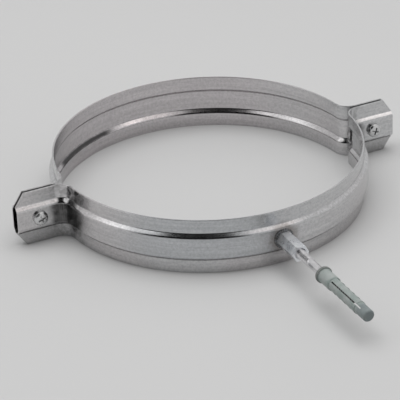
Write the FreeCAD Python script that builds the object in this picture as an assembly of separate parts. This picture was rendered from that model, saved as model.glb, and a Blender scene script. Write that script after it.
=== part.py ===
import FreeCAD, Part
import math
import os

from FreeCAD import Placement, Rotation
from FreeCAD import Vector as V

# Two-screw hanger clamp for a 200 mm flue pipe, held off the wall by a hanger bolt in a nylon plug.
# Millimetres. Z is the pipe's axis and the origin is the middle of the ring.
# The ears point along X and the sleeve nut, the bolt and the plug along -Y.

# Rolled half bands
pipe_radius = 100.0
band_height = 37.0
sheet_thickness = 1.2
channel_depth = 2.6
channel_mouth_height = 17.8
channel_floor_height = 13.2
press_radius = 1.0
press_flats = 1
ear_gap = 1.6
ear_bend_radius = 10.0
ear_flat_length = 26.5
ear_corner_length = 6.0
ear_corner_height = 9.0

# Clamp screws and their nuts
screw_diameter = 5.0
screw_length = 25.0
screw_from_ear_bend = 11.5
screw_hole_clearance = 0.3
screw_tip_chamfer = 0.6
head_diameter = 9.5
head_height = 3.3
head_rim_height = 1.3
head_dome_flats = 2
head_seat_gap = 0.05
recess_width = 5.2
recess_slot = 1.1
recess_depth = 1.9
clamp_nut_flats = 8.0
clamp_nut_height = 4.0
nut_chamfer = 0.45
thread_clearance = 0.05

# Sleeve nut welded on the near half's channel
sleeve_flats = 10.0
sleeve_length = 22.0
sleeve_chamfer = 0.6
weld_collar_diameter = 14.0
weld_collar_height = 1.4
weld_collar_taper = 1.0

# Hanger bolt: machine thread in the sleeve nut, wood thread in the plug
bolt_diameter = 6.0
bolt_inner_gap = 6.8
bolt_chamfer = 0.7
bolt_bare_length = 27.5
bolt_shank_in_plug = 6.0
wood_core_diameter = 5.0
wood_length = 32.0
wood_point_length = 9.0

# Wall plug
plug_collar_diameter = 10.8
plug_collar_height = 2.0
plug_neck_diameter = 9.1
plug_body_diameter = 8.3
plug_length = 55.0
plug_neck_length = 14.0
plug_tooth_pitch = 6.0
plug_tooth_count = 5
plug_tooth_depth = 0.5
plug_nose_diameter = 7.6
plug_nose_round = 1.2
plug_slit_width = 0.9
plug_slit_start = 15.0
plug_slit_end = 49.0
plug_turn = 52.0


def bent_path(corners, radii, flats):
    """A run of straight lines, each inner corner rounded to its radius in a few equal short flats."""
    points = [corners[0]]
    for before, corner, after, radius in zip(corners, corners[1:], corners[2:], radii):
        back = (before - corner).normalize()
        ahead = (after - corner).normalize()
        half = back.getAngle(ahead) / 2
        tangent = radius / math.tan(half)
        middle = corner + (back + ahead).normalize() * (radius / math.sin(half) - radius)
        arc = Part.Arc(corner + back * tangent, middle, corner + ahead * tangent).toShape()
        points += arc.discretize(flats + 1)
    points.append(corners[-1])
    return points


def turned(points, z_axis_start, direction):
    """A solid of revolution: (radius, distance) points turned about an axis."""
    wire = Part.makePolygon([V(r, 0, h) for r, h in points] + [V(points[0][0], 0, points[0][1])])
    solid = Part.Face(wire).revolve(V(0, 0, 0), V(0, 0, 1), 360)
    solid.Placement = Placement(z_axis_start, Rotation(V(0, 0, 1), direction))
    return solid


def hexagon(across_flats, height, chamfer, seat, direction):
    """A hexagon bar standing on its seat, with the corners of its far end turned off."""
    corner = across_flats / math.sqrt(3)
    points = [V(corner * math.cos(a), corner * math.sin(a), 0)
              for a in (math.radians(60 * i) for i in range(7))]
    bar = Part.Face(Part.makePolygon(points)).extrude(V(0, 0, height))
    low = chamfer * math.tan(math.radians(30))
    outline = [(0, 0), (corner, 0), (corner, height - low), (corner - chamfer, height), (0, height)]
    bar = bar.common(turned(outline, V(0, 0, 0), V(0, 0, 1)))
    bar.Placement = Placement(seat, Rotation(V(0, 0, 1), direction))
    return bar


def drilled(solid, diameter, start, direction, length):
    return solid.cut(Part.makeCylinder(diameter / 2, length, start, direction))


# Where the pieces meet, worked out from the sizes above
bend_centre_y = -(ear_gap / 2 + ear_bend_radius)
bend_centre_x = math.sqrt((pipe_radius + ear_bend_radius) ** 2 - bend_centre_y ** 2)
ring_end_angle = math.degrees(math.asin(-bend_centre_y / (pipe_radius + ear_bend_radius)))
ear_end_x = bend_centre_x + ear_flat_length
screw_x = bend_centre_x + screw_from_ear_bend
channel_rise = channel_depth + sheet_thickness
ear_face = ear_gap / 2 + channel_rise
sleeve_seat = pipe_radius + channel_rise
sleeve_end = sleeve_seat + sleeve_length
bolt_start = sleeve_seat + bolt_inner_gap
plug_mouth = sleeve_end + bolt_bare_length
bolt_step = plug_mouth + bolt_shank_in_plug
bolt_point = bolt_step + wood_length
plug_end = plug_mouth + plug_length


def band_section():
    """The strip's cross-section as a face at X = 0: inside face on Y = 0, channel raised towards -Y."""
    mouth = channel_mouth_height / 2
    floor = channel_floor_height / 2
    corners = [V(0, 0, -band_height / 2),
               V(0, 0, -mouth),
               V(0, channel_depth, -floor),
               V(0, channel_depth, floor),
               V(0, 0, mouth),
               V(0, 0, band_height / 2)]
    outer = press_radius + sheet_thickness
    inside = bent_path(corners, [outer, press_radius, press_radius, outer], press_flats)
    lifted = [corner + V(0, sheet_thickness, 0) for corner in corners]
    slope = math.atan2(channel_depth, mouth - floor)
    for i, side in ((1, 1), (2, 1), (3, -1), (4, -1)):
        lifted[i] += V(0, 0, -side * sheet_thickness * math.tan(slope / 2))
    outside = bent_path(lifted, [press_radius, outer, outer, press_radius], press_flats)
    points = inside + outside[::-1]
    section = Part.Face(Part.makePolygon(points + [points[0]]))
    section.rotate(V(0, 0, 0), V(0, 0, 1), 180)
    return section


def half_band():
    """One half, on the -Y side: ring arc, and at each end an ear bent outward with the same section."""
    section = band_section()
    ring = section.copy()
    ring.translate(V(0, -pipe_radius, 0))
    ring.rotate(V(0, 0, 0), V(0, 0, 1), -(90 - ring_end_angle))
    ring = ring.revolve(V(0, 0, 0), V(0, 0, 1), 180 - 2 * ring_end_angle)
    pieces = []
    for side in (-1, 1):
        ear = section.copy()
        ear.translate(V(side * bend_centre_x, -ear_gap / 2, 0))
        centre = V(side * bend_centre_x, bend_centre_y, 0)
        pieces.append(ear.extrude(V(side * ear_flat_length, 0, 0)))
        pieces.append(ear.revolve(centre, V(0, 0, 1), side * (90 - ring_end_angle)))
    band = ring.fuse(pieces).removeSplitter()
    for side in (-1, 1):
        band = band.cut(ear_corners(side))
        band = drilled(band, screw_diameter + 2 * screw_hole_clearance,
                       V(side * screw_x, 0, 0), V(0, -1, 0), 2 * ear_face)
    return band


def ear_corners(side):
    """The two flange corners that are clipped off at an ear's end."""
    half = band_height / 2
    cuts = []
    for up in (-1, 1):
        tip = V(side * ear_end_x, 0, up * half)
        points = [tip + V(side, 0, up),
                  tip + V(-side * ear_corner_length, 0, up),
                  tip + V(-side * ear_corner_length, 0, 0),
                  tip + V(0, 0, -up * ear_corner_height),
                  tip + V(side, 0, -up * ear_corner_height)]
        face = Part.Face(Part.makePolygon(points + [points[0]]))
        cuts.append(face.extrude(V(0, -2 * ear_face, 0)))
    return cuts


def clamp_screw(side):
    """Pan head screw with a cross recess, head on the near side, pointed along +Y."""
    radius = screw_diameter / 2
    rim = head_diameter / 2
    seat = ear_face + head_seat_gap
    reach = screw_length + head_seat_gap
    points = [(0, reach),
              (radius - screw_tip_chamfer, reach),
              (radius, reach - screw_tip_chamfer),
              (radius, 0),
              (rim, 0)]
    crown = head_height - head_rim_height
    for i in range(head_dome_flats):
        turn = math.radians(90 * i / head_dome_flats)
        points.append((rim * math.cos(turn) ** 0.7, -head_rim_height - crown * math.sin(turn)))
    points.append((0, -head_height))
    screw = turned(points, V(0, 0, 0), V(0, 0, 1))
    for width, thick in ((recess_width, recess_slot), (recess_slot, recess_width)):
        slot = Part.makeBox(width, thick, head_height + recess_depth,
                            V(-width / 2, -thick / 2, -2 * head_height))
        screw = screw.cut(slot)
    screw.rotate(V(0, 0, 0), V(0, 0, 1), 20 * side)
    screw.Placement = Placement(V(side * screw_x, -seat, 0),
                                Rotation(V(0, 0, 1), V(0, 1, 0))).multiply(screw.Placement)
    return screw


def clamp_nut(side):
    """Hex nut on the far ear's raised face, with the screw running through it."""
    seat = V(side * screw_x, ear_face, 0)
    nut = hexagon(clamp_nut_flats, clamp_nut_height, nut_chamfer, seat, V(0, 1, 0))
    return drilled(nut, screw_diameter + 2 * thread_clearance, seat, V(0, 1, 0), clamp_nut_height)


def sleeve_nut():
    """Long hex nut on a low tapered weld collar, both shaped to the channel's round face."""
    sunk = sleeve_seat - sleeve_seat * (1 - math.cos(math.asin(weld_collar_diameter / 2 / sleeve_seat)))
    foot = V(0, -sunk, 0)
    rise = sleeve_seat - sunk
    bar = hexagon(sleeve_flats, sleeve_length + rise, sleeve_chamfer, foot, V(0, -1, 0))
    wide = weld_collar_diameter / 2
    collar = turned([(0, 0), (wide, 0), (wide, rise),
                     (wide - weld_collar_taper, rise + weld_collar_height),
                     (0, rise + weld_collar_height)], foot, V(0, -1, 0))
    nut = bar.fuse(collar).removeSplitter()
    nut = nut.cut(Part.makeCylinder(sleeve_seat, band_height, V(0, 0, -band_height / 2)))
    bore = bolt_diameter + 2 * thread_clearance
    return drilled(nut, bore, foot, V(0, -1, 0), sleeve_length + rise)


def bolt_outline(gap):
    """The bolt's turned outline from the plug's mouth to its point, grown by a gap."""
    core = wood_core_diameter / 2 + gap
    return [(bolt_diameter / 2 + gap, plug_mouth),
            (bolt_diameter / 2 + gap, bolt_step),
            (core, bolt_step + bolt_chamfer),
            (core, bolt_point - wood_point_length + gap),
            (gap, bolt_point + gap),
            (0, bolt_point + gap)]


def hanger_bolt():
    """One rod: machine thread end, bare middle, and the wood thread's tapered end in the plug."""
    radius = bolt_diameter / 2
    points = [(0, bolt_start),
              (radius - bolt_chamfer, bolt_start),
              (radius, bolt_start + bolt_chamfer)]
    points += bolt_outline(0)[1:-2] + [(0, bolt_point)]
    return turned(points, V(0, 0, 0), V(0, -1, 0))


def wall_plug():
    """Nylon plug: collar, smooth neck, saw teeth, slits that let it spread, and a rounded nose."""
    collar = plug_collar_diameter / 2
    neck = plug_neck_diameter / 2
    body = plug_body_diameter / 2
    nose = plug_nose_diameter / 2
    neck_end = plug_mouth + plug_neck_length
    last = neck_end + plug_tooth_count * plug_tooth_pitch
    points = [(0, plug_mouth),
              (collar, plug_mouth),
              (collar, plug_mouth + plug_collar_height),
              (neck, plug_mouth + plug_collar_height),
              (neck, neck_end),
              (body, neck_end),
              (body, last),
              (nose, last),
              (nose, plug_end - plug_nose_round)]
    for step in (45, 90):
        turn = math.radians(step)
        points.append((nose - plug_nose_round * (1 - math.cos(turn)),
                       plug_end - plug_nose_round * (1 - math.sin(turn))))
    points.append((0, plug_end))
    plug = turned(points, V(0, 0, 0), V(0, -1, 0))
    hollow = [(0, plug_mouth)] + bolt_outline(thread_clearance)
    plug = plug.cut(turned(hollow, V(0, 0, 0), V(0, -1, 0)))
    for up in (-1, 1):
        for i in range(plug_tooth_count):
            plug = plug.cut(tooth_gap(neck_end + i * plug_tooth_pitch, up))
    slit_length = plug_slit_end - plug_slit_start
    slit = Part.makeBox(2 * plug_neck_diameter, slit_length, plug_slit_width,
                        V(-plug_neck_diameter, -(plug_mouth + plug_slit_end), -plug_slit_width / 2))
    plug = plug.cut(slit)
    plug.rotate(V(0, 0, 0), V(0, 1, 0), plug_turn)
    return plug


def tooth_gap(start, up):
    """What is left out before one barb: a steep drop on the collar side, then a ramp to the next crest."""
    body = plug_body_diameter / 2
    root = body - plug_tooth_depth
    points = [V(-body, -start, up * plug_body_diameter),
              V(-body, -start, up * root),
              V(-body, -(start + plug_tooth_pitch), up * body),
              V(-body, -(start + plug_tooth_pitch), up * plug_body_diameter)]
    face = Part.Face(Part.makePolygon(points + [points[0]]))
    return face.extrude(V(plug_body_diameter, 0, 0))


def turned_over(solid):
    """The far half is the same pressing, turned half round the pipe's axis."""
    far = solid.copy()
    far.rotate(V(0, 0, 0), V(0, 0, 1), 180)
    return far


near_band = half_band()
pieces = {
    "wall_half_band": near_band,
    "outer_half_band": turned_over(near_band),
    "left_clamp_screw": clamp_screw(-1),
    "right_clamp_screw": clamp_screw(1),
    "left_clamp_nut": clamp_nut(-1),
    "right_clamp_nut": clamp_nut(1),
    "sleeve_nut": sleeve_nut(),
    "hanger_bolt": hanger_bolt(),
    "wall_plug": wall_plug(),
}

os.makedirs("parts", exist_ok=True)
for name, solid in pieces.items():
    if solid.ShapeType == "Compound" and len(solid.Solids) == 1:
        solid = solid.Solids[0]
    box = solid.BoundBox
    print(name, solid.ShapeType, len(solid.Solids), solid.isValid(), round(solid.Volume, 1),
          [round(v, 2) for v in (box.XMin, box.XMax, box.YMin, box.YMax, box.ZMin, box.ZMax)])
    solid.exportStep("parts/%s.step" % name)
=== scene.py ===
from math import asin, atan2, cos, pi, radians, sin, sqrt, tan

import bmesh
import bpy
from mathutils import Matrix, Vector, noise


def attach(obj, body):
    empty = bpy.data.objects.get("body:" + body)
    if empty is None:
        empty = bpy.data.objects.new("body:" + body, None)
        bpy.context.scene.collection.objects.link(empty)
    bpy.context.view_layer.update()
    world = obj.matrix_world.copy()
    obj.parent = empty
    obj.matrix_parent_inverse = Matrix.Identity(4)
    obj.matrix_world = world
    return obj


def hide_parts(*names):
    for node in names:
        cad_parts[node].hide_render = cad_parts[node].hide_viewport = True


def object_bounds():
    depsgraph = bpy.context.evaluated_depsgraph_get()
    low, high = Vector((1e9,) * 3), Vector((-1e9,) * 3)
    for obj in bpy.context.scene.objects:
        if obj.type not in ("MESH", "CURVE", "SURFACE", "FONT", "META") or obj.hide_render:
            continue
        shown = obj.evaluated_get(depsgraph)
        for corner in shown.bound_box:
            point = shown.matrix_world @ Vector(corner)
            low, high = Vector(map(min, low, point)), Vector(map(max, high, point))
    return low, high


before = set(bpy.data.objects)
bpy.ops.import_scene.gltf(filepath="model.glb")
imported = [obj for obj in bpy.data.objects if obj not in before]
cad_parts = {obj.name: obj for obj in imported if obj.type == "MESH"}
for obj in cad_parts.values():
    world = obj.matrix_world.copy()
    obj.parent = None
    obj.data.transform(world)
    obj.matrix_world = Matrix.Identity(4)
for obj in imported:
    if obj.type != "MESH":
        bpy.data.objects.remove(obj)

cad_box = [list(corner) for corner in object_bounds()]
mm = 0.001


# ---- The two half bands
# Each is one strip of zinc-coated steel, rolled with a raised channel along its middle and then bent round
# the pipe. Both ends turn outward over a tight radius into ears that keep the same section.
pipe_radius = 100.0 * mm
band_height = 37.0 * mm
sheet_thickness = 1.2 * mm
channel_depth = 2.6 * mm
channel_mouth_height = 17.8 * mm
channel_floor_height = 13.2 * mm
press_radius = 1.0 * mm
cut_edge_radius = 0.28 * mm
ear_gap = 1.6 * mm
ear_bend_radius = 10.0 * mm
ear_flat_length = 26.5 * mm
ear_corner_length = 6.0 * mm
ear_corner_height = 9.0 * mm
screw_from_ear_bend = 11.5 * mm
screw_hole_radius = 2.8 * mm
hair = 0.001 * mm

# How finely the curves are cut: a rounded corner, the ear's clipped corner and its flat, the bend, the ring.
round_steps = 5
clip_steps = 6
ear_steps = 14
bend_steps = 14
ring_steps = 224

channel_rise = channel_depth + sheet_thickness
bend_centre_y = -(ear_gap / 2 + ear_bend_radius)
bend_centre_x = sqrt((pipe_radius + ear_bend_radius) ** 2 - bend_centre_y ** 2)
ring_end_angle = asin(-bend_centre_y / (pipe_radius + ear_bend_radius))
ear_end_x = bend_centre_x + ear_flat_length
screw_x = bend_centre_x + screw_from_ear_bend
ear_face = ear_gap / 2 + channel_rise
sleeve_seat = pipe_radius + channel_rise


def rounded_loop(corners, radii):
    """A closed outline of points, with each corner rounded to its radius."""
    points = []
    count = len(corners)
    for i, (corner, radius) in enumerate(zip(corners, radii)):
        back = (corners[i - 1] - corner).normalized()
        ahead = (corners[(i + 1) % count] - corner).normalized()
        half = back.angle(ahead) / 2
        tangent = radius / tan(half)
        centre = corner + (back + ahead).normalized() * (radius / sin(half))
        start = corner + back * tangent - centre
        turn = start.angle_signed(corner + ahead * tangent - centre)
        for step in range(round_steps + 1):
            points.append(centre + Matrix.Rotation(-turn * step / round_steps, 2) @ start)
    return points


def strip_outline(rim):
    """The strip's closed outline as (outward, up), its rims at plus and minus the given height."""
    mouth = channel_mouth_height / 2
    floor_edge = channel_floor_height / 2
    shift = sheet_thickness * tan(atan2(channel_depth, mouth - floor_edge) / 2)
    t = sheet_thickness
    wide = press_radius + t
    corners = [(0, -rim), (0, -mouth), (channel_depth, -floor_edge),
               (channel_depth, floor_edge), (0, mouth), (0, rim),
               (t, rim), (t, mouth + shift), (channel_rise, floor_edge + shift),
               (channel_rise, -floor_edge - shift), (t, -mouth - shift), (t, -rim)]
    edge = cut_edge_radius
    radii = [edge, wide, press_radius, press_radius, wide, edge,
             edge, press_radius, wide, wide, press_radius, edge]
    return rounded_loop([Vector(c) for c in corners], radii)


# The strip coordinate runs along the strip from one ear's end to the other's, and round its outline.
bend_length = ear_bend_radius * (pi / 2 - ring_end_angle)
strip_length = 2 * ear_flat_length + 2 * bend_length + pipe_radius * (pi - 2 * ring_end_angle)
full_outline = strip_outline(band_height / 2)
outline_run = [0.0]
for i, corner in enumerate(full_outline):
    outline_run.append(outline_run[-1] + (full_outline[(i + 1) % len(full_outline)] - corner).length)
outside_runs = [run for run, corner in zip(outline_run, full_outline) if corner.x > channel_rise - hair]
outer_channel_middle = sum(outside_runs) / len(outside_runs)


def strip_stations():
    """Where the strip runs: (point, outward direction, distance along it, rim height) from ear to ear."""
    full = band_height / 2
    corner_start = ear_end_x - ear_corner_length
    xs = [ear_end_x - ear_corner_length * i / clip_steps for i in range(clip_steps + 1)]
    xs += [corner_start - (corner_start - bend_centre_x) * i / ear_steps for i in range(1, ear_steps)]
    stations = []
    for x in xs:
        cut = max(0.0, (x - corner_start) / ear_corner_length) * ear_corner_height
        stations.append([Vector((-x, -ear_gap / 2)), Vector((0, -1)), full - cut])
    for i in range(bend_steps + 1):
        a = pi / 2 - (pi / 2 - ring_end_angle) * i / bend_steps
        spoke = Vector((cos(a), sin(a)))
        point = Vector((-bend_centre_x, bend_centre_y)) + spoke * ear_bend_radius
        stations.append([point, -spoke, full])
    other_ear = [[Vector((-point.x, point.y)), Vector((-outward.x, outward.y)), rim]
                 for point, outward, rim in reversed(stations)]
    for i in range(1, ring_steps):
        a = pi + ring_end_angle + (pi - 2 * ring_end_angle) * i / ring_steps
        spoke = Vector((cos(a), sin(a)))
        stations.append([spoke * pipe_radius, spoke, full])
    stations += other_ear
    along = 0.0
    for i, station in enumerate(stations):
        if i:
            along += (station[0] - stations[i - 1][0]).length
        station.insert(2, along)
    return stations


def belt(bm, low, high):
    """The faces between two rings of vertices."""
    count = len(low)
    return [bm.faces.new((low[i], low[(i + 1) % count], high[(i + 1) % count], high[i]))
            for i in range(count)]


def finished_piece(name, bm, body, slot, material, *nodes):
    """Makes the mesh into an object that rides its body and stands for its CAD nodes."""
    bmesh.ops.recalc_face_normals(bm, faces=bm.faces)
    mesh = bpy.data.meshes.new(name)
    bm.to_mesh(mesh)
    bm.free()
    mesh.materials.append(material)
    piece = bpy.data.objects.new(name, mesh)
    bpy.context.scene.collection.objects.link(piece)
    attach(piece, body)
    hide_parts(*nodes)
    return piece


def cut_away(piece, cutter_bm):
    """Takes the cutter's solid out of the piece for good."""
    bmesh.ops.recalc_face_normals(cutter_bm, faces=cutter_bm.faces)
    cutter_mesh = bpy.data.meshes.new("cutter")
    cutter_bm.to_mesh(cutter_mesh)
    cutter_bm.free()
    cutter = bpy.data.objects.new("cutter", cutter_mesh)
    bpy.context.scene.collection.objects.link(cutter)
    cut = piece.modifiers.new("cut", "BOOLEAN")
    cut.object = cutter
    cut.operation = "DIFFERENCE"
    cut.solver = "EXACT"
    bpy.context.view_layer.update()
    seen = piece.evaluated_get(bpy.context.evaluated_depsgraph_get())
    ready = bpy.data.meshes.new_from_object(seen)
    old = piece.data
    ready.name = old.name
    piece.modifiers.remove(cut)
    piece.data = ready
    bpy.data.meshes.remove(old)
    bpy.data.objects.remove(cutter)
    bpy.data.meshes.remove(cutter_mesh)


def shade_flats(piece, sharp_angle=None):
    """Keeps the flats flat in the shading, and the edges sharper than an angle hard where one is given."""
    if sharp_angle:
        piece.data.set_sharp_from_angle(angle=radians(sharp_angle))
    piece.modifiers.new("flat faces stay flat", "WEIGHTED_NORMAL").keep_sharp = True


def prism(bm, outline, low, high, place):
    """A closed prism: the outline's points from low to high along its own Z, then moved by a matrix."""
    lower = [bm.verts.new(place @ Vector((x, y, low))) for x, y in outline]
    upper = [bm.verts.new(place @ Vector((x, y, high))) for x, y in outline]
    bm.faces.new(lower[::-1])
    bm.faces.new(upper)
    belt(bm, lower, upper)


def circle(radius, count):
    return [(radius * cos(2 * pi * i / count), radius * sin(2 * pi * i / count)) for i in range(count)]


def rolled_half_band(name, body, node, turned_over):
    """Sweeps the outline along one half, keeps the strip coordinate, closes the ends and drills the holes."""
    bm = bmesh.new()
    uv = bm.loops.layers.uv.new("strip")
    rings = []
    for point, outward, along, rim in strip_stations():
        ring = [bm.verts.new((point.x + outward.x * o.x, point.y + outward.y * o.x, o.y))
                for o in strip_outline(rim)]
        rings.append((ring, along))
    for (ring_a, u_a), (ring_b, u_b) in zip(rings, rings[1:]):
        for face, v_a, v_b in zip(belt(bm, ring_a, ring_b), outline_run, outline_run[1:]):
            face.smooth = True
            for loop, at in zip(face.loops, ((u_a, v_a), (u_a, v_b), (u_b, v_b), (u_b, v_a))):
                loop[uv].uv = at
    for ring in (rings[0][0], rings[-1][0]):
        end = bm.faces.new(ring)
        end.smooth = True
        for edge in end.edges:
            edge.smooth = False
    piece = finished_piece(name, bm, body, "zinc_strip", strip_finish, node)
    drill = bmesh.new()
    for side in (-1, 1):
        place = Matrix.Translation((side * screw_x, 0, 0)) @ Matrix.Rotation(pi / 2, 4, "X")
        prism(drill, circle(screw_hole_radius, 48), -1 * mm, 10 * mm, place)
    cut_away(piece, drill)
    if turned_over:
        piece.data.transform(Matrix.Rotation(pi, 4, "Z"))
    shade_flats(piece)


# The finishes are node materials. An effect that several of them share is a node group, made here.
def add_node(tree, kind, inputs=None, **settings):
    """One shader node with its settings, and with values or links for its inputs."""
    node = tree.nodes.new(kind)
    for name, value in settings.items():
        setattr(node, name, value)
    for socket, value in (inputs or {}).items():
        if isinstance(value, bpy.types.NodeSocket):
            tree.links.new(value, node.inputs[socket])
        else:
            node.inputs[socket].default_value = value
    return node


def sum_of(tree, a, b, operation="ADD"):
    return add_node(tree, "ShaderNodeMath", {0: a, 1: b}, operation=operation).outputs[0]


def product_of(tree, a, b, *more):
    product = sum_of(tree, a, b, "MULTIPLY")
    for factor in more:
        product = sum_of(tree, product, factor, "MULTIPLY")
    return product


def distance_from(tree, value, middle):
    return sum_of(tree, sum_of(tree, value, middle, "SUBTRACT"), 0.0, "ABSOLUTE")


def ramp_of(tree, value, low, high, out_low=0.0, out_high=1.0):
    """A value that runs smoothly from out_low to out_high while its source runs from low to high."""
    node = add_node(tree, "ShaderNodeMapRange", {"Value": value, "From Min": low, "From Max": high,
                                                 "To Min": out_low, "To Max": out_high},
                    interpolation_type="SMOOTHSTEP", clamp=True)
    return node.outputs["Result"]


def noise_of(tree, vector, scale, detail, **more):
    """Noise from 0 to 1 at the coordinates; more may hold its Roughness and Distortion."""
    inputs = {"Vector": vector, "Scale": scale, "Detail": detail, **more}
    return add_node(tree, "ShaderNodeTexNoise", inputs).outputs[0]


def stretched(tree, vector, scale):
    return add_node(tree, "ShaderNodeMapping", {"Vector": vector, "Scale": scale}).outputs["Vector"]


def separated(tree, vector):
    return add_node(tree, "ShaderNodeSeparateXYZ", {"Vector": vector}).outputs


def off_y_axis(tree, apart):
    """How far a place lies from the Y axis, which is the axis of the sleeve nut, the bolt and the plug."""
    flat = add_node(tree, "ShaderNodeCombineXYZ", {"X": apart["X"], "Y": 0.0, "Z": apart["Z"]})
    return add_node(tree, "ShaderNodeVectorMath", {0: flat.outputs[0]}, operation="LENGTH").outputs["Value"]


def mixed_colour(tree, factor, a, b, blend="MIX"):
    node = tree.nodes.new("ShaderNodeMix")
    node.data_type = "RGBA"
    node.blend_type = blend
    for socket, value in (("Factor_Float", factor), ("A_Color", a), ("B_Color", b)):
        target = next(s for s in node.inputs if s.identifier == socket)
        if isinstance(value, bpy.types.NodeSocket):
            tree.links.new(value, target)
        else:
            target.default_value = value
    return next(s for s in node.outputs if s.identifier == "Result_Color")


def tinted(tree, colour, where, strength, tint):
    """The colour with a tint laid over it at the given strength, where a mark's value is 1."""
    return mixed_colour(tree, product_of(tree, where, strength), colour, tint)


def group_tree(name, inputs, outputs):
    """An empty node group and its end nodes' sockets. An input is a vector when its value is None."""
    tree = bpy.data.node_groups.new(name, "ShaderNodeTree")
    for socket, value in inputs.items():
        kind = "NodeSocketVector" if value is None else "NodeSocketFloat"
        made = tree.interface.new_socket(socket, in_out="INPUT", socket_type=kind)
        if value is not None:
            made.default_value = value
    for socket in outputs:
        tree.interface.new_socket(socket, in_out="OUTPUT", socket_type="NodeSocketFloat")
    return tree, tree.nodes.new("NodeGroupInput").outputs, tree.nodes.new("NodeGroupOutput").inputs


def placed_group(tree, group, inputs):
    return add_node(tree, "ShaderNodeGroup", inputs, node_tree=group).outputs


# Rolling lines: long thin lines that the mill's rollers leave along the strip, with a few deeper ones.
rolling_lines, given, made = group_tree("rolling lines", {"Vector": None, "Length": 60.0, "Width": 2600.0},
                                        ("Tone", "Height", "Scratches"))
tree = rolling_lines
scale = add_node(tree, "ShaderNodeCombineXYZ",
                 {"X": given["Length"], "Y": given["Width"], "Z": given["Width"]}).outputs[0]
lines_at = add_node(tree, "ShaderNodeVectorMath", {0: given["Vector"], 1: scale},
                    operation="MULTIPLY").outputs[0]
broad_at = add_node(tree, "ShaderNodeVectorMath", {0: lines_at, "Scale": 0.16}, operation="SCALE").outputs[0]
fine = noise_of(tree, lines_at, 1.0, 4.0, Roughness=0.6)
broad = noise_of(tree, broad_at, 1.0, 3.0, Roughness=0.55)
tone = sum_of(tree, product_of(tree, fine, 0.45), product_of(tree, broad, 0.55))
tree.links.new(tone, made["Tone"])
tree.links.new(fine, made["Height"])
tree.links.new(ramp_of(tree, broad, 0.60, 0.72), made["Scratches"])

# Zinc cloud: the slow change from bright to dull over a zinc coat, with small dull specks in it.
zinc_cloud, given, made = group_tree("zinc cloud", {"Vector": None, "Size": 40.0}, ("Cloud", "Specks"))
tree = zinc_cloud
slow = noise_of(tree, given["Vector"], given["Size"], 3.0, Roughness=0.55, Distortion=0.4)
quick = noise_of(tree, given["Vector"], product_of(tree, given["Size"], 22.0), 2.0, Roughness=0.6)
tree.links.new(ramp_of(tree, slow, 0.3, 0.7), made["Cloud"])
tree.links.new(ramp_of(tree, quick, 0.6, 0.72), made["Specks"])

# Painted edge glint and corner shade: outside corners painted brighter as a glint, inside corners painted
# darker as shade, both in patches.
edge_glint_and_corner_shade, given, made = group_tree("painted edge glint and corner shade", {"Vector": None, "Break Up": 900.0}, ("Edge Glint", "Corner Shade"))
tree = edge_glint_and_corner_shade
bend = add_node(tree, "ShaderNodeNewGeometry").outputs["Pointiness"]
patchy = ramp_of(tree, noise_of(tree, given["Vector"], given["Break Up"], 3.0), 0.35, 0.65, 0.35, 1.0)
tree.links.new(product_of(tree, ramp_of(tree, bend, 0.52, 0.58), patchy), made["Edge Glint"])
tree.links.new(product_of(tree, ramp_of(tree, bend, 0.485, 0.42), patchy), made["Corner Shade"])

# Ear bend shade: painted shade where the raised channel goes round the tight ear bend, from the ear's root to
# some
#  way along the ring, drawn out in lines across the strip. The flanges beside the channel get painted shade
#  too, but in patches and more weakly.
mark_shift = 4.5 * mm
mark_past_bend = 6.5 * mm
mark_fade = 7.0 * mm
mark_ragged = 5.0 * mm
beside_reach = 16 * mm
beside_end = 28 * mm
mark_middle = strip_length / 2 - ear_flat_length - bend_length / 2 - mark_shift
mark_reach = bend_length / 2 + mark_past_bend

ear_bend_painted_shade, given, made = group_tree("painted ear bend shade", {"Strip": None, "Vector": None},
                                        ("Channel", "Beside"))
tree = ear_bend_painted_shade
apart = separated(tree, given["Strip"])
off_mark = distance_from(tree, distance_from(tree, apart["X"], strip_length / 2), mark_middle)
off_channel = distance_from(tree, apart["Y"], outer_channel_middle)
streaks = noise_of(tree, stretched(tree, given["Strip"], (700, 60, 1)), 1.0, 3.0)
streaky = ramp_of(tree, streaks, 0.3, 0.62, 1.0, 0.84)
ragged = noise_of(tree, given["Vector"], 260.0, 3.0)
ragged_off = sum_of(tree, off_mark, product_of(tree, ragged, mark_ragged))
along_mark = ramp_of(tree, ragged_off, mark_reach + mark_fade, mark_reach)
in_channel = ramp_of(tree, off_channel, channel_floor_height / 2 + 1.2 * mm,
                     channel_floor_height / 2 - 0.8 * mm)
beside = ramp_of(tree, off_channel, beside_end, beside_reach)
patches = ramp_of(tree, ragged, 0.42, 0.62)
tree.links.new(product_of(tree, along_mark, in_channel, streaky), made["Channel"])
tree.links.new(product_of(tree, along_mark, beside, patches), made["Beside"])

# Band marks, placed from the ring's middle: heat colours round the weld on the near half, a painted dark
# reflection
#  streak on the lower slope inside the far half, a cooler tint of the zinc on the near half's front, a warmer
#  one inside the far half, and darker lower flanges on the ears. Angles go round the ring from +X, in degrees.
heat_reach = 15.0 * mm
heat_core = 9.0 * mm
streak_from = 102
streak_to = 141
streak_height = -7.9 * mm
front_middle = -118
front_core = 12
front_reach = 44

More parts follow.
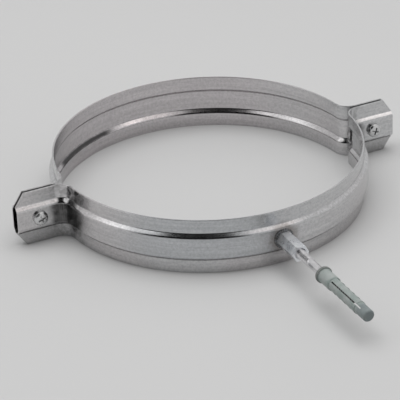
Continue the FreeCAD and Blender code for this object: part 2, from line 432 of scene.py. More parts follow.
band_marks, given, made = group_tree("band marks", {"Vector": None},
                                     ("Heat", "Dark Reflection Streak", "Cool", "Warm", "Darker Ear Foot"))
tree = band_marks
apart = separated(tree, given["Vector"])
mottle = noise_of(tree, given["Vector"], 420.0, 3.0)
uneven = sum_of(tree, off_y_axis(tree, apart), product_of(tree, mottle, 5.0 * mm))
near_side = ramp_of(tree, apart["Y"], -90 * mm, -95 * mm)
heat = product_of(tree, ramp_of(tree, uneven, heat_reach, heat_core), near_side)
round_ring = sum_of(tree, apart["Y"], apart["X"], "ARCTAN2")
# A painted dark reflection: a streak along the far half's lower slope, laid into the colour.
in_arc = product_of(tree, ramp_of(tree, round_ring, radians(streak_from), radians(streak_from + 7)),
                    ramp_of(tree, round_ring, radians(streak_to), radians(streak_to - 5)))
off_slope = sum_of(tree, distance_from(tree, apart["Z"], streak_height), product_of(tree, mottle, 0.6 * mm))
dark_reflection_streak = product_of(tree, in_arc, ramp_of(tree, off_slope, 2.0 * mm, 0.8 * mm))
off_front = distance_from(tree, round_ring, radians(front_middle))
above_flange = ramp_of(tree, apart["Z"], -9.5 * mm, -8.0 * mm)
cool = product_of(tree, ramp_of(tree, off_front, radians(front_reach), radians(front_core)), above_flange)
warm = ramp_of(tree, apart["Y"], 30 * mm, 85 * mm)
# The ears' lower flanges are made darker.
on_ear = ramp_of(tree, distance_from(tree, apart["X"], 0.0), 101 * mm, 109 * mm)
darker_ear_foot = product_of(tree, on_ear, ramp_of(tree, above_flange, 1.0, 0.0))
for name, value in (("Heat", heat), ("Dark Reflection Streak", dark_reflection_streak), ("Cool", cool), ("Warm", warm), ("Darker Ear Foot", darker_ear_foot)):
    tree.links.new(value, made[name])


def new_finish(name):
    """A node material, its tree, its Principled node, and the coordinates on the object itself."""
    material = bpy.data.materials.new(name)
    material.use_nodes = True
    tree = material.node_tree
    coords = add_node(tree, "ShaderNodeTexCoord")
    return material, tree, tree.nodes["Principled BSDF"], coords.outputs["Object"]


def relief_of(tree, height, strength, depth, **more):
    inputs = {"Height": height, "Strength": strength, "Distance": depth, **more}
    return add_node(tree, "ShaderNodeBump", inputs).outputs[0]


def coat(tree, shader, colour, roughness, relief, metallic=1.0):
    """Gives the Principled node its colour, roughness, relief and share of metal."""
    tree.links.new(colour, shader.inputs["Base Color"])
    tree.links.new(roughness, shader.inputs["Roughness"])
    tree.links.new(relief, shader.inputs["Normal"])
    shader.inputs["Metallic"].default_value = metallic


# Strip finish: mid-grey zinc with rolling lines along the strip, a slow wave from the rollers, fine spangle,
#  dull specks, painted shade and more roughness in the press lines, and a faint painted glint on the edges. The
#  marks above lie over it.
strip_finish, tree, steel, spot = new_finish("zinc strip")
along_strip = add_node(tree, "ShaderNodeUVMap", uv_map="strip").outputs["UV"]
lines = placed_group(tree, rolling_lines, {"Vector": along_strip, "Length": 55.0, "Width": 2400.0})
cloud = placed_group(tree, zinc_cloud, {"Vector": spot, "Size": 32.0})
glint_and_shade = placed_group(tree, edge_glint_and_corner_shade, {"Vector": spot, "Break Up": 500.0})
bend_shade = placed_group(tree, ear_bend_painted_shade, {"Strip": along_strip, "Vector": spot})
marks = placed_group(tree, band_marks, {"Vector": spot})
colour = mixed_colour(tree, ramp_of(tree, lines["Tone"], 0.34, 0.66),
                      (0.57, 0.57, 0.57, 1), (0.725, 0.72, 0.725, 1))
colour = tinted(tree, colour, cloud["Cloud"], 0.35, (0.62, 0.62, 0.625, 1))
colour = tinted(tree, colour, cloud["Specks"], 0.3, (0.38, 0.38, 0.385, 1))
passivated = ramp_of(tree, noise_of(tree, spot, 11.0, 1.0), 0.40, 0.60)
tint = mixed_colour(tree, passivated, (1.0, 0.955, 0.96, 1), (0.965, 0.98, 0.99, 1))
tint = mixed_colour(tree, marks["Cool"], tint, (0.74, 0.79, 0.83, 1))
tint = mixed_colour(tree, marks["Warm"], tint, (1.0, 0.92, 0.94, 1))
tint = mixed_colour(tree, marks["Darker Ear Foot"], tint, (0.55, 0.55, 0.55, 1))
colour = mixed_colour(tree, 0.5, colour, tint, "MULTIPLY")
spangle = ramp_of(tree, noise_of(tree, spot, 620.0, 3.0, Roughness=0.6), 0.3, 0.7, 0.84, 1.0)
colour = mixed_colour(tree, 1.0, colour, spangle, "MULTIPLY")
colour = tinted(tree, colour, marks["Heat"], 0.75, (0.22, 0.20, 0.19, 1))
# Painted dark reflection streak on the lower slope inside the far half.
colour = tinted(tree, colour, marks["Dark Reflection Streak"], 0.93, (0.04, 0.04, 0.04, 1))
# Painted shade in the concave ear bend, dark on the channel and weaker on the flanges beside it.
colour = mixed_colour(tree, bend_shade["Channel"], colour, (0.022, 0.021, 0.02, 1))
colour = tinted(tree, colour, bend_shade["Beside"], 0.45, (0.17, 0.17, 0.17, 1))
# Painted shade in the press lines and inside corners, and a faint painted glint on the outside edges.
colour = tinted(tree, colour, glint_and_shade["Corner Shade"], 0.5, (0.22, 0.215, 0.21, 1))
colour = tinted(tree, colour, glint_and_shade["Edge Glint"], 0.2, (0.78, 0.78, 0.78, 1))
roughness = sum_of(tree, product_of(tree, cloud["Cloud"], 0.07), product_of(tree, lines["Tone"], 0.14))
roughness = sum_of(tree, roughness, product_of(tree, glint_and_shade["Corner Shade"], 0.15))
roughness = sum_of(tree, roughness, 0.09)
wave = noise_of(tree, stretched(tree, along_strip, (18, 90, 1)), 1.0, 2.0, Roughness=0.4)
waved = relief_of(tree, wave, 0.35, 0.6 * mm)
coat(tree, steel, colour, roughness, relief_of(tree, lines["Height"], 0.22, 0.05 * mm, Normal=waved))

rolled_half_band("near_half_band", "wall_half", "wall_half_band", False)
rolled_half_band("far_half_band", "outer_half", "outer_half_band", True)


# ---- The clamp screws
# Pan head machine screws in bright zinc plate, one through each pair of ears with its head on the near side.
# The cross recess is punched with sloping walls and the thread is rolled.
screw_radius = 2.5 * mm
screw_pitch = 0.8 * mm
screw_root_radius = 2.06 * mm
screw_length = 25.0 * mm
screw_tip_chamfer = 0.6 * mm
screw_fillet = 0.15 * mm
head_radius = 4.75 * mm
head_height = 3.3 * mm
head_rim_height = 1.3 * mm
head_crown = 0.7
head_steps = 12
head_seat_gap = 0.05 * mm
recess_width = 5.2 * mm
recess_bottom_width = 3.0 * mm
recess_slot = 1.15 * mm
recess_bottom_slot = 0.8 * mm
recess_depth = 1.9 * mm
recess_turn = 20
rows_per_turn = 9
thread_run_out = 0.8 * mm
round_count = 40


def turned_skin(bm, rows, count, place, shape):
    """A skin about local Z from (radius, height) rows, where radius 0 is a point and shape gives the radius."""
    rings = []
    for radius, height in rows:
        if radius == 0:
            rings.append([bm.verts.new(place @ Vector((0, 0, height)))])
            continue
        ring = []
        for i in range(count):
            a = 2 * pi * i / count
            r = shape(radius, height, a)
            ring.append(bm.verts.new(place @ Vector((r * cos(a), r * sin(a), height))))
        rings.append(ring)
    for low, high in zip(rings, rings[1:]):
        for i in range(count):
            j = (i + 1) % count
            if len(low) == 1:
                face = bm.faces.new((low[0], high[j], high[i]))
            elif len(high) == 1:
                face = bm.faces.new((low[i], low[j], high[0]))
            else:
                face = bm.faces.new((low[i], low[j], high[j], high[i]))
            face.smooth = True


def thread_shape(start, end, pitch, root, crest, run_out):
    """Gives the radius on a helical thread between two heights, fading out over run_out at both ends."""
    def radius_at(radius, height, angle):
        if radius == 0 or not start <= height <= end:
            return radius
        turn = (height / pitch - angle / (2 * pi)) % 1.0
        rise = min(1.0, max(0.0, 1.6 - 3.2 * abs(turn - 0.5)))
        strength = min(1.0, (height - start) / run_out, (end - height) / run_out)
        low = radius + (root - crest) * strength
        return low + (radius - low) * rise
    return radius_at


def even_rows(radius, start, end, step):
    """Rows of one radius, close enough together to carry a thread."""
    count = max(2, round((end - start) / step))
    return [(radius, start + (end - start) * i / count) for i in range(count + 1)]


def cross_cutter(bm, place, top, bottom, turn):
    """A cross with sloping walls, from above the head's top down to the recess floor."""
    spin = place @ Matrix.Rotation(radians(turn), 4, "Z")
    levels = []
    for height, share in ((bottom, 0.0), (top, 1.0), (top - (bottom - top) * 0.4, 1.4)):
        w = (recess_bottom_width + (recess_width - recess_bottom_width) * share) / 2
        s = (recess_bottom_slot + (recess_slot - recess_bottom_slot) * share) / 2
        arm = [Vector((s, s)), Vector((w, s)), Vector((w, -s))]
        lift = place.to_3x3() @ Vector((0, 0, height))
        levels.append([bm.verts.new(spin @ (Matrix.Rotation(-quarter * pi / 2, 2) @ corner).to_3d() + lift)
                       for quarter in range(4) for corner in arm])
    bm.faces.new(levels[0][::-1])
    bm.faces.new(levels[-1])
    for low, high in zip(levels, levels[1:]):
        belt(bm, low, high)


# Screw finish: bright zinc with a fine grain, painted shade in the recess and a painted glint on the edges.
screw_finish, tree, steel, spot = new_finish("zinc screw")
cloud = placed_group(tree, zinc_cloud, {"Vector": spot, "Size": 260.0})
glint_and_shade = placed_group(tree, edge_glint_and_corner_shade, {"Vector": spot, "Break Up": 1500.0})
colour = mixed_colour(tree, cloud["Cloud"], (0.60, 0.605, 0.61, 1), (0.72, 0.72, 0.72, 1))
colour = tinted(tree, colour, cloud["Specks"], 0.4, (0.42, 0.42, 0.43, 1))
colour = tinted(tree, colour, glint_and_shade["Corner Shade"], 0.85, (0.10, 0.10, 0.10, 1))
colour = tinted(tree, colour, glint_and_shade["Edge Glint"], 0.6, (0.86, 0.86, 0.85, 1))
coat(tree, steel, colour, ramp_of(tree, cloud["Cloud"], 0.0, 1.0, 0.20, 0.32),
     relief_of(tree, noise_of(tree, spot, 2200.0, 3.0), 0.15, 0.04 * mm))

tip = screw_length + head_seat_gap
rows = [(0, -head_height)]
for i in range(head_steps - 1, -1, -1):
    t = radians(90 * i / head_steps)
    rows.append((head_radius * cos(t) ** head_crown,
                 -head_rim_height - (head_height - head_rim_height) * sin(t)))
rows += [(head_radius, -0.18 * mm), (head_radius - 0.06 * mm, -0.05 * mm), (head_radius - 0.2 * mm, 0),
         (screw_radius + screw_fillet, 0), (screw_radius, screw_fillet)]
rows += even_rows(screw_radius, 0.6 * mm, tip - screw_tip_chamfer, screw_pitch / rows_per_turn)
rows += [(screw_radius - screw_tip_chamfer * 0.5, tip - screw_tip_chamfer * 0.5),
         (screw_radius - screw_tip_chamfer, tip), (0, tip)]
screw_thread = thread_shape(1.0 * mm, tip - screw_tip_chamfer * 0.6, screw_pitch, screw_root_radius,
                            screw_radius, thread_run_out)
for side, name in ((-1, "left"), (1, "right")):
    seat_plane = (Matrix.Translation((side * screw_x, -(ear_face + head_seat_gap), 0))
                  @ Matrix.Rotation(-pi / 2, 4, "X"))
    bm = bmesh.new()
    turned_skin(bm, rows, round_count, seat_plane, screw_thread)
    screw = finished_piece(name + "_pan_head_screw", bm, name + "_screw", "zinc_screw", screw_finish,
                           name + "_clamp_screw")
    punch = bmesh.new()
    cross_cutter(punch, seat_plane, -head_height, -head_height + recess_depth, recess_turn * side)
    cut_away(screw, punch)
    shade_flats(screw, 50)


# ---- The clamp nuts
# Small hex nuts, zinc plated, one behind each far ear, that the clamp screws draw up.
# Both faces have their corners turned off, and the bore is chamfered.
nut_flats = 8.0 * mm
nut_height = 4.0 * mm
nut_chamfer = 0.45 * mm
nut_bore_chamfer = 0.35 * mm
hex_corner_radius = 0.3 * mm
hex_side_steps = 16
chamfer_slope = tan(radians(30))
thread_clearance = 0.05 * mm


def hex_radius(flats, angle):
    """How far a hexagon's side is from its middle, in a direction measured from one of its corners."""
    return flats / 2 / cos(angle % (pi / 3) - pi / 6)


def hex_columns(flats):
    """Directions round a hexagon and its distance in each, with the six corners rounded off."""
    middle = (flats / 2 - hex_corner_radius) / cos(pi / 6)
    reach = atan2(hex_corner_radius / 2, middle + hex_corner_radius * cos(pi / 6))
    columns = []
    for corner in range(6):
        for share in (-1, -0.5, 0, 0.5, 1):
            a = reach * share
            round_off = middle * cos(a) + sqrt(hex_corner_radius ** 2 - (middle * sin(a)) ** 2)
            columns.append((corner * pi / 3 + a, round_off))
        for i in range(1, hex_side_steps):
            a = i * pi / (3 * hex_side_steps)
            columns.append((corner * pi / 3 + a, hex_radius(flats, a)))
    return columns


def joined_columns(bm, columns):
    """Joins columns of vertices round an axis into one skin, each column closed on itself."""
    for i, here in enumerate(columns):
        there = columns[(i + 1) % len(columns)]
        for k in range(len(here)):
            m = (k + 1) % len(here)
            bm.faces.new((here[k], there[k], there[m], here[m])).smooth = True


def hex_body(bm, flats, low_chamfer, high_chamfer, bore_rows, low_at, high, place):
    """A hexagon with a bore. Each column runs up the bore, over the far face, down the side and back."""
    corner = flats / sqrt(3)
    columns = []
    for a, side in hex_columns(flats):
        ray = Vector((cos(a), sin(a)))
        top = min(side, corner - high_chamfer)
        foot = min(side, corner - low_chamfer)
        column = [(r, h + low_at(ray * r)) for r, h in bore_rows]
        column.append((top, high))
        column.append((side, high - (side - top) * chamfer_slope))
        column.append((side, low_at(ray * side) + (side - foot) * chamfer_slope))
        column.append((foot, low_at(ray * foot)))
        columns.append([bm.verts.new(place @ Vector((ray.x * r, ray.y * r, h))) for r, h in column])
    joined_columns(bm, columns)
    bmesh.ops.remove_doubles(bm, verts=bm.verts, dist=2 * hair)
    bmesh.ops.dissolve_degenerate(bm, edges=bm.edges, dist=hair)


# Nut finish: zinc plate with a faint blue cast, a little duller than the screws, with painted glints on the
# corners and painted shade in the hollows.
nut_finish, tree, steel, spot = new_finish("zinc nut")
cloud = placed_group(tree, zinc_cloud, {"Vector": spot, "Size": 230.0})
glint_and_shade = placed_group(tree, edge_glint_and_corner_shade, {"Vector": spot, "Break Up": 1200.0})
colour = mixed_colour(tree, cloud["Cloud"], (0.72, 0.75, 0.79, 1), (0.97, 0.985, 1.0, 1))
colour = tinted(tree, colour, cloud["Specks"], 0.35, (0.45, 0.47, 0.50, 1))
colour = tinted(tree, colour, glint_and_shade["Corner Shade"], 0.7, (0.12, 0.12, 0.12, 1))
colour = tinted(tree, colour, glint_and_shade["Edge Glint"], 0.6, (0.88, 0.89, 0.92, 1))
coat(tree, steel, colour, ramp_of(tree, cloud["Cloud"], 0.0, 1.0, 0.26, 0.40),
     relief_of(tree, noise_of(tree, spot, 1800.0, 3.0), 0.2, 0.05 * mm))

bore = screw_radius + thread_clearance
bore_rows = [(bore + nut_bore_chamfer, 0), (bore, nut_bore_chamfer),
             (bore, nut_height - nut_bore_chamfer), (bore + nut_bore_chamfer, nut_height)]
for side, name in ((-1, "left"), (1, "right")):
    seat_plane = Matrix.Translation((side * screw_x, ear_face, 0)) @ Matrix.Rotation(-pi / 2, 4, "X")
    bm = bmesh.new()
    hex_body(bm, nut_flats, nut_chamfer, nut_chamfer, bore_rows, lambda at: 0.0, nut_height, seat_plane)
    nut = finished_piece(name + "_hex_nut", bm, "outer_half", "zinc_nut", nut_finish, name + "_clamp_nut")
    shade_flats(nut, 25)


# ---- The sleeve nut and its weld
# A long hex nut, zinc plated, standing on the middle of the near half's raised channel.
# A low bead of weld runs round its foot, with the ridges and small ripples that the torch leaves.
sleeve_flats = 10.0 * mm
sleeve_length = 22.0 * mm
sleeve_chamfer = 0.6 * mm
sleeve_bore_chamfer = 0.7 * mm
channel_flat_reach = 6.14 * mm
weld_radius = 7.0 * mm
weld_height = 1.7 * mm
weld_top_gap = 0.4 * mm
weld_overlap = 0.25 * mm
weld_ripple = 0.09 * mm
weld_swell = 0.22 * mm
weld_ridge = 0.13 * mm
weld_columns = 144
weld_steps = 24
bolt_radius = 3.0 * mm
sleeve_end = sleeve_seat + sleeve_length


def channel_surface(at):
    """Height of the channel's outside under a point beside the nut's axis, measured from the pipe's axis."""
    over = max(0.0, abs(at.y) - channel_flat_reach)
    return sqrt(sleeve_seat ** 2 - at.x ** 2) - over ** 2 / (2 * (press_radius + sheet_thickness))


away_from_ring = Matrix.Rotation(pi / 2, 4, "X")
bore = bolt_radius + thread_clearance
bore_rows = [(bore, 0.0), (bore, sleeve_length - sleeve_bore_chamfer),
             (bore + sleeve_bore_chamfer, sleeve_length)]
bm = bmesh.new()
hex_body(bm, sleeve_flats, 0.0, sleeve_chamfer, bore_rows, channel_surface, sleeve_end, away_from_ring)
sleeve = finished_piece("long_sleeve_nut", bm, "wall_half", "zinc_nut", nut_finish, "sleeve_nut")
shade_flats(sleeve, 25)

# Weld finish: dark brown to blue-grey metal, with painted glints on the ridges and painted shade between them.
weld_finish, tree, steel, spot = new_finish("weld bead")
cloud = placed_group(tree, zinc_cloud, {"Vector": spot, "Size": 420.0})
glint_and_shade = placed_group(tree, edge_glint_and_corner_shade, {"Vector": spot, "Break Up": 1500.0})
colour = mixed_colour(tree, cloud["Cloud"], (0.045, 0.04, 0.036, 1), (0.22, 0.23, 0.25, 1))
colour = tinted(tree, colour, glint_and_shade["Edge Glint"], 0.8, (0.72, 0.73, 0.74, 1))
colour = tinted(tree, colour, glint_and_shade["Corner Shade"], 0.8, (0.05, 0.045, 0.04, 1))
coat(tree, steel, colour, ramp_of(tree, cloud["Specks"], 0.0, 1.0, 0.24, 0.5),
     relief_of(tree, noise_of(tree, spot, 1600.0, 4.0), 0.45, 0.1 * mm), metallic=0.9)

bm = bmesh.new()
columns = []
for i in range(weld_columns):
    a = 2 * pi * i / weld_columns
    ray = Vector((cos(a), sin(a)))
    ripple = weld_ripple * sin(a * 26 + 1.5 * sin(a * 3))
    ripple += weld_swell * noise.noise(Vector((cos(a) * 2, sin(a) * 2, 3.1)))
    inner = hex_radius(sleeve_flats, a) - weld_overlap
    outer = min(weld_radius - 0.05 * mm, weld_radius - 0.35 * mm + ripple)
    profile = [(inner, 0.02 * mm)]
    for k in range(weld_steps + 1):
        t = radians(90 * k / weld_steps)
        ridge = weld_ridge * sin(k * pi / 3) if k < weld_steps else 0.0
        height = (weld_height - weld_top_gap + ripple) * cos(t) + ridge * min(1.0, 3 * cos(t))
        profile.append((inner + (outer - inner) * sin(t), height))
    columns.append([bm.verts.new(away_from_ring @ Vector((ray.x * r, ray.y * r, channel_surface(ray * r) + h)))
                    for r, h in profile])
joined_columns(bm, columns)
weld = finished_piece("weld_bead", bm, "wall_half", "zinc_nut", weld_finish, "sleeve_nut")
shade_flats(weld)


# ---- The hanger bolt
# One steel rod, zinc plated: a rolled machine thread that turns in the sleeve nut, a bare middle,
# and a coarse wood thread with a point that cuts into the plug.
bolt_pitch = 1.0 * mm
bolt_root_radius = 2.45 * mm
bolt_start = sleeve_seat + 6.8 * mm
bolt_chamfer = 0.7 * mm
plug_mouth = sleeve_end + 27.5 * mm
machine_thread_end = plug_mouth - 15.0 * mm
bare_radius = 2.72 * mm
bolt_step = plug_mouth + 6.0 * mm
wood_radius = 2.5 * mm
wood_root_radius = 1.75 * mm
wood_pitch = 2.4 * mm
wood_rows_per_turn = 12
wood_run_out = 1.6 * mm
wood_start = bolt_step + 1.2 * mm
bolt_point = bolt_step + 32.0 * mm
wood_point_length = 9.0 * mm
point_curve = 0.8
point_steps = 44
taper_start = bolt_point - wood_point_length

# Bolt finish: bright zinc over rolled steel, with a painted glint on the crests and painted shade in the
# thread's roots.
#  The length inside the plug, which shows through the slit, is painted darker as shade and is rougher.
bolt_finish, tree, steel, spot = new_finish("zinc bolt")
cloud = placed_group(tree, zinc_cloud, {"Vector": spot, "Size": 190.0})
glint_and_shade = placed_group(tree, edge_glint_and_corner_shade, {"Vector": spot, "Break Up": 1300.0})
lengthwise = add_node(tree, "ShaderNodeMapping", {"Vector": spot, "Rotation": (0, 0, pi / 2)}).outputs[0]
drawn = placed_group(tree, rolling_lines, {"Vector": lengthwise, "Length": 90.0, "Width": 3000.0})
in_plug_shade = ramp_of(tree, separated(tree, spot)["Y"], 1 * mm - bolt_step, -bolt_step - 1 * mm)
colour = mixed_colour(tree, cloud["Cloud"], (0.66, 0.655, 0.67, 1), (0.80, 0.79, 0.80, 1))
colour = tinted(tree, colour, drawn["Scratches"], 0.3, (0.50, 0.50, 0.52, 1))
colour = tinted(tree, colour, glint_and_shade["Corner Shade"], 0.75, (0.14, 0.14, 0.15, 1))
colour = tinted(tree, colour, glint_and_shade["Edge Glint"], 0.6, (0.90, 0.90, 0.90, 1))
# Painted shade on the length inside the plug, which lies in shadow.
colour = tinted(tree, colour, in_plug_shade, 0.85, (0.44, 0.44, 0.43, 1))
roughness = sum_of(tree, ramp_of(tree, cloud["Cloud"], 0.0, 1.0, 0.14, 0.26), product_of(tree, in_plug_shade, 0.4))
coat(tree, steel, colour, roughness, relief_of(tree, drawn["Height"], 0.15, 0.03 * mm))

rows = [(0, bolt_start), (bolt_radius - bolt_chamfer, bolt_start),
        (bolt_radius - bolt_chamfer / 2, bolt_start + bolt_chamfer / 2)]
rows += even_rows(bolt_radius, bolt_start + bolt_chamfer, machine_thread_end, bolt_pitch / rows_per_turn)
rows += [(bolt_radius - 0.1 * mm, machine_thread_end + 0.3 * mm), (bare_radius, machine_thread_end + 0.8 * mm)]
rows += even_rows(bare_radius, machine_thread_end + 2 * mm, plug_mouth + 1.0 * mm, 2 * mm)
rows += [(bare_radius, bolt_step), (wood_radius, bolt_step + bolt_chamfer)]
rows += even_rows(wood_radius, wood_start, taper_start, wood_pitch / wood_rows_per_turn)
for i in range(1, point_steps):
    rows.append((wood_radius * (1 - i / point_steps) ** point_curve,
                 taper_start + wood_point_length * i / point_steps))
rows.append((0, bolt_point))
machine = thread_shape(bolt_start + bolt_chamfer * 0.8, machine_thread_end, bolt_pitch, bolt_root_radius,
                       bolt_radius, thread_run_out)
wood = thread_shape(wood_start, bolt_point, wood_pitch, wood_root_radius, wood_radius, wood_run_out)


def bolt_shape(radius, height, angle):
    """The machine thread up to the step, then the wood thread, which gets shallower along the point."""
    if height < bolt_step:
        return machine(radius, height, angle)
    taper = radius / wood_radius
    return radius - (wood_radius - wood(wood_radius, height, angle)) * taper


bm = bmesh.new()
turned_skin(bm, rows, round_count, away_from_ring, bolt_shape)
bolt = finished_piece("threaded_hanger_bolt", bm, "bolt", "zinc_bolt", bolt_finish, "hanger_bolt")
shade_flats(bolt, 70)


# ---- The wall plug
# Grey-green moulded nylon: a round collar that stops at the wall's face, a smooth neck, and a body with saw
# teeth above and below and a slit through it, so that the screw's wood thread spreads it in the wall.
plug_collar_radius = 5.4 * mm
plug_collar_height = 2.0 * mm
plug_neck_radius = 4.55 * mm
plug_body_radius = 4.15 * mm
plug_length = 55.0 * mm
plug_neck_length = 14.0 * mm
plug_tooth_pitch = 6.0 * mm
plug_tooth_count = 5
plug_tooth_depth = 0.5 * mm
plug_nose_radius = 3.8 * mm
plug_nose_round = 1.2 * mm
plug_slit_width = 0.9 * mm
plug_slit_start = 15.0 * mm
plug_slit_end = 49.0 * mm
plug_turn = radians(52)
plug_round_count = 64
tooth_rows = (0.004, 0.1, 0.3, 0.5, 0.7, 0.9, 0.984)
tooth_tip = 0.985
taper_steps = 12
nose_dark_from = -198 * mm
nose_dark_to = -201 * mm
neck_end = plug_mouth + plug_neck_length
teeth_end = neck_end + plug_tooth_count * plug_tooth_pitch
plug_end = plug_mouth + plug_length


def plug_shape(radius, height, angle):
    """Cuts the teeth's flat ramps into the body's top and bottom."""
    if not neck_end < height < teeth_end or radius < plug_body_radius - hair:
        return radius
    share = ((height - neck_end) / plug_tooth_pitch) % 1.0
    if share > tooth_tip:
        share = 1.0
    flat = plug_body_radius - plug_tooth_depth * (1 - share)
    return min(radius, flat / max(abs(sin(angle)), 1e-6))


def plug_rows():
    """The hollow from its bottom up to the mouth, then the outside down to the nose."""
    gap = thread_clearance
    taper = [(wood_radius * (1 - i / taper_steps) ** point_curve + gap,
              bolt_point - wood_point_length * (1 - i / taper_steps)) for i in range(taper_steps)]
    hollow = [(0, bolt_point + gap)] + taper[::-1]
    hollow += [(wood_radius + gap, bolt_step + bolt_chamfer), (bolt_radius + gap, bolt_step),
               (bolt_radius + gap, plug_mouth + 0.3 * mm), (bolt_radius + gap + 0.3 * mm, plug_mouth)]
    collar, collar_end = plug_collar_radius, plug_mouth + plug_collar_height
    outside = [(collar - 0.3 * mm, plug_mouth), (collar - 0.08 * mm, plug_mouth + 0.1 * mm),
               (collar, plug_mouth + 0.35 * mm), (collar, collar_end - 0.3 * mm),
               (collar - 0.25 * mm, collar_end), (plug_neck_radius + 0.25 * mm, collar_end),
               (plug_neck_radius, collar_end + 0.25 * mm)]
    outside += even_rows(plug_neck_radius, collar_end + 1 * mm, neck_end - 0.4 * mm, 2 * mm)
    outside += [(plug_body_radius, neck_end)]
    for i in range(plug_tooth_count):
        start = neck_end + i * plug_tooth_pitch
        outside += [(plug_body_radius, start + plug_tooth_pitch * share) for share in tooth_rows]
    outside += [(plug_nose_radius, teeth_end + 0.15 * mm)]
    outside += even_rows(plug_nose_radius, teeth_end + 1 * mm, plug_end - plug_nose_round, 2 * mm)
    for step in (15, 30, 45, 60, 75, 90):
        t = radians(step)
        outside.append((plug_nose_radius - plug_nose_round * (1 - cos(t)),
                        plug_end - plug_nose_round * (1 - sin(t))))
    return hollow + outside + [(0, plug_end)]


# Nylon finish: grey-green, cloudy where the granulate mixed, with a soft moulded sheen.
#  The collar's rim is darker, the nose has painted shade, and edges and hollows get a painted glint and painted
#  shade.
nylon_finish, tree, nylon, spot = new_finish("grey-green nylon")
cloud = placed_group(tree, zinc_cloud, {"Vector": spot, "Size": 150.0})
glint_and_shade = placed_group(tree, edge_glint_and_corner_shade, {"Vector": spot, "Break Up": 900.0})
apart = separated(tree, spot)
collar_rim = ramp_of(tree, off_y_axis(tree, apart), plug_collar_radius - 0.5 * mm,
                     plug_collar_radius - 0.2 * mm)
nose_shade = product_of(tree, ramp_of(tree, apart["Y"], nose_dark_from, nose_dark_to),
                  ramp_of(tree, cloud["Cloud"], 0.2, 0.8, 0.95, 0.7))
colour = mixed_colour(tree, cloud["Cloud"], (0.225, 0.27, 0.255, 1), (0.335, 0.36, 0.35, 1))
colour = tinted(tree, colour, cloud["Specks"], 0.3, (0.42, 0.42, 0.40, 1))
# Painted shade on the nose, whose end faces away from the light.
colour = mixed_colour(tree, nose_shade, colour, (0.165, 0.195, 0.2, 1))
colour = tinted(tree, colour, collar_rim, 0.75, (0.07, 0.075, 0.07, 1))
colour = tinted(tree, colour, glint_and_shade["Corner Shade"], 0.6, (0.07, 0.08, 0.075, 1))
colour = tinted(tree, colour, glint_and_shade["Edge Glint"], 0.35, (0.50, 0.52, 0.49, 1))
coat(tree, nylon, colour, ramp_of(tree, cloud["Cloud"], 0.0, 1.0, 0.38, 0.52),
     relief_of(tree, noise_of(tree, spot, 1100.0, 3.0), 0.3, 0.08 * mm), metallic=0.0)

bm = bmesh.new()
plug_lies = Matrix.Rotation(plug_turn, 4, "Y") @ away_from_ring
turned_skin(bm, plug_rows(), plug_round_count, plug_lies, plug_shape)
plug = finished_piece("moulded_wall_plug", bm, "plug", "nylon", nylon_finish, "wall_plug")
blade = bmesh.new()
half_slit = plug_slit_width / 2
across = 10 * mm
prism(blade, [(-across, -half_slit), (across, -half_slit), (across, half_slit), (-across, half_slit)],
      plug_mouth + plug_slit_start, plug_mouth + plug_slit_end, plug_lies)
cut_away(plug, blade)
shade_flats(plug, 35)


# ---- The floor
# A plain pale sheet that the loose clamp lies on. It keeps the clamp's shadow.
floor_half_width = 6.0
floor_finish, tree, paper, spot = new_finish("pale floor")
paper_tone = mixed_colour(tree, noise_of(tree, spot, 6.0, 2.0),
                          (0.545, 0.545, 0.545, 1), (0.555, 0.555, 0.555, 1))
tree.links.new(paper_tone, paper.inputs["Base Color"])
paper.inputs["Roughness"].default_value = 0.9
paper.inputs["Specular IOR Level"].default_value = 0.1
bm = bmesh.new()
bmesh.ops.create_grid(bm, x_segments=8, y_segments=8, size=floor_half_width,
                      matrix=Matrix.Translation((0, 0, cad_box[0][2])))
mesh = bpy.data.meshes.new("floor")
bm.to_mesh(mesh)
bm.free()
mesh.materials.append(floor_finish)
ground = bpy.data.objects.new("floor", mesh)
bpy.context.scene.collection.objects.link(ground)


# ---- The light
# An even pale studio, with soft white glows on the left and faintly warm ones on the right, and one large
# round lamp overhead for the shadows. A dark card stands behind the camera, from just above the floor up
# to the ceiling: the channel's slopes mirror it as the dark streaks on both halves.
camera_side = radians(-115.4)
studio_shade = 0.66
lamp_size = 2.2
lamp_energy = 24.5
lamp_distance = 1.8
# Each glow: angle to the right of the camera, height above the floor, outer and inner radius, colour.
glows = ((-84, 43, 16, 2, (1.5, 1.5, 1.5, 1)), (-63, 60, 10, 2, (1.25, 1.25, 1.25, 1)),
         (51, 57, 10, 3, (1.3, 1.22, 1.19, 1)), (77, 55, 7, 3, (1.75, 1.66, 1.62, 1)))
card_side = -14
card_outer, card_inner = 42, 37
card_foot, card_full = 4, 9


def studio_direction(side, height):
    """A direction from the object: side is the angle to the right of the camera, height above the floor."""
    a = camera_side + radians(side)
    e = radians(height)
    return Vector((cos(a) * cos(e), sin(a) * cos(e), sin(e)))


def nearness(tree, direction, side, height):
    """The cosine of the angle between a direction and a place in the studio."""
    return add_node(tree, "ShaderNodeVectorMath", {0: direction, 1: studio_direction(side, height)},
                    operation="DOT_PRODUCT").outputs["Value"]


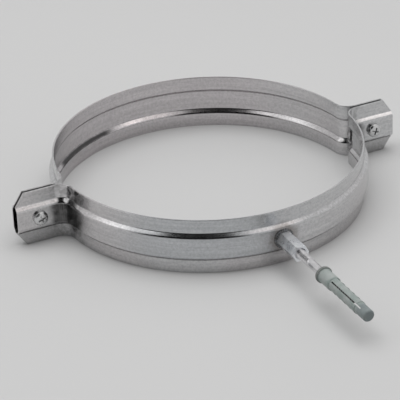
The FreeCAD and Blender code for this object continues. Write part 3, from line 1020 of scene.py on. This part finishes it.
world = bpy.data.worlds.new("studio")
bpy.context.scene.world = world
world.use_nodes = True
tree = world.node_tree
sky = tree.nodes["Background"]
looking = add_node(tree, "ShaderNodeTexCoord").outputs["Generated"]
shade = (studio_shade, studio_shade, studio_shade, 1)
for side, height, outer, inner, colour in glows:
    near = nearness(tree, looking, side, height)
    shade = mixed_colour(tree, ramp_of(tree, near, cos(radians(outer)), cos(radians(inner))), shade, colour)
level = add_node(tree, "ShaderNodeVectorMath", {0: looking, 1: (1, 1, 0)}, operation="MULTIPLY").outputs[0]
level = add_node(tree, "ShaderNodeVectorMath", {0: level}, operation="NORMALIZE").outputs[0]
sideways = nearness(tree, level, card_side, 0)
upward = separated(tree, looking)["Z"]
dark_card = product_of(tree, ramp_of(tree, sideways, cos(radians(card_outer)), cos(radians(card_inner))),
                       ramp_of(tree, upward, sin(radians(card_foot)), sin(radians(card_full))))
shade = mixed_colour(tree, dark_card, shade, (0.003, 0.003, 0.003, 1))
tree.links.new(shade, sky.inputs["Color"])
sky.inputs["Strength"].default_value = 1.0

lamp_data = bpy.data.lights.new("large soft lamp", "AREA")
lamp_data.shape = "DISK"
lamp_data.size = lamp_size
lamp_data.energy = lamp_energy
lamp = bpy.data.objects.new("large soft lamp", lamp_data)
lamp.location = studio_direction(-90, 87) * lamp_distance
lamp.rotation_euler = (-lamp.location).to_track_quat("-Z", "Y").to_euler()
lamp.visible_glossy = False
bpy.context.scene.collection.objects.link(lamp)
bpy.context.scene.view_settings.view_transform = "Standard"


# ---- The camera
# It stands at the photograph's place: a long lens, 29 degrees up and 25 degrees to the left of the bolt.
focal_px = 2200.0
picture_px = 400
sensor_width = 36
distance = 1.4350
elevation = radians(28.824)
roll = radians(-2.330)
turn = radians(25.060)
ring_px = (208.9, 169.28)

forward = Vector((0, cos(elevation), -sin(elevation)))
right = Vector((1, 0, 0))
up = right.cross(forward)
rolled_right = right * cos(roll) + up * sin(roll)
rolled_up = up * cos(roll) - right * sin(roll)
sight = (rolled_right * ((ring_px[0] - picture_px / 2) / focal_px)
         - rolled_up * ((ring_px[1] - picture_px / 2) / focal_px) + forward).normalized()
to_left = Matrix.Rotation(-turn, 3, "Z")
axes = Matrix((to_left @ rolled_right, to_left @ rolled_up, -(to_left @ forward))).transposed()
camera_data = bpy.data.cameras.new("camera")
camera = bpy.data.objects.new("camera", camera_data)
bpy.context.scene.collection.objects.link(camera)
camera.matrix_world = Matrix.Translation(to_left @ (-sight * distance)) @ axes.to_4x4()
camera_data.sensor_width = sensor_width
camera_data.lens = focal_px * sensor_width / picture_px
camera_data.clip_start = 0.1
camera_data.clip_end = 20
bpy.context.scene.camera = camera
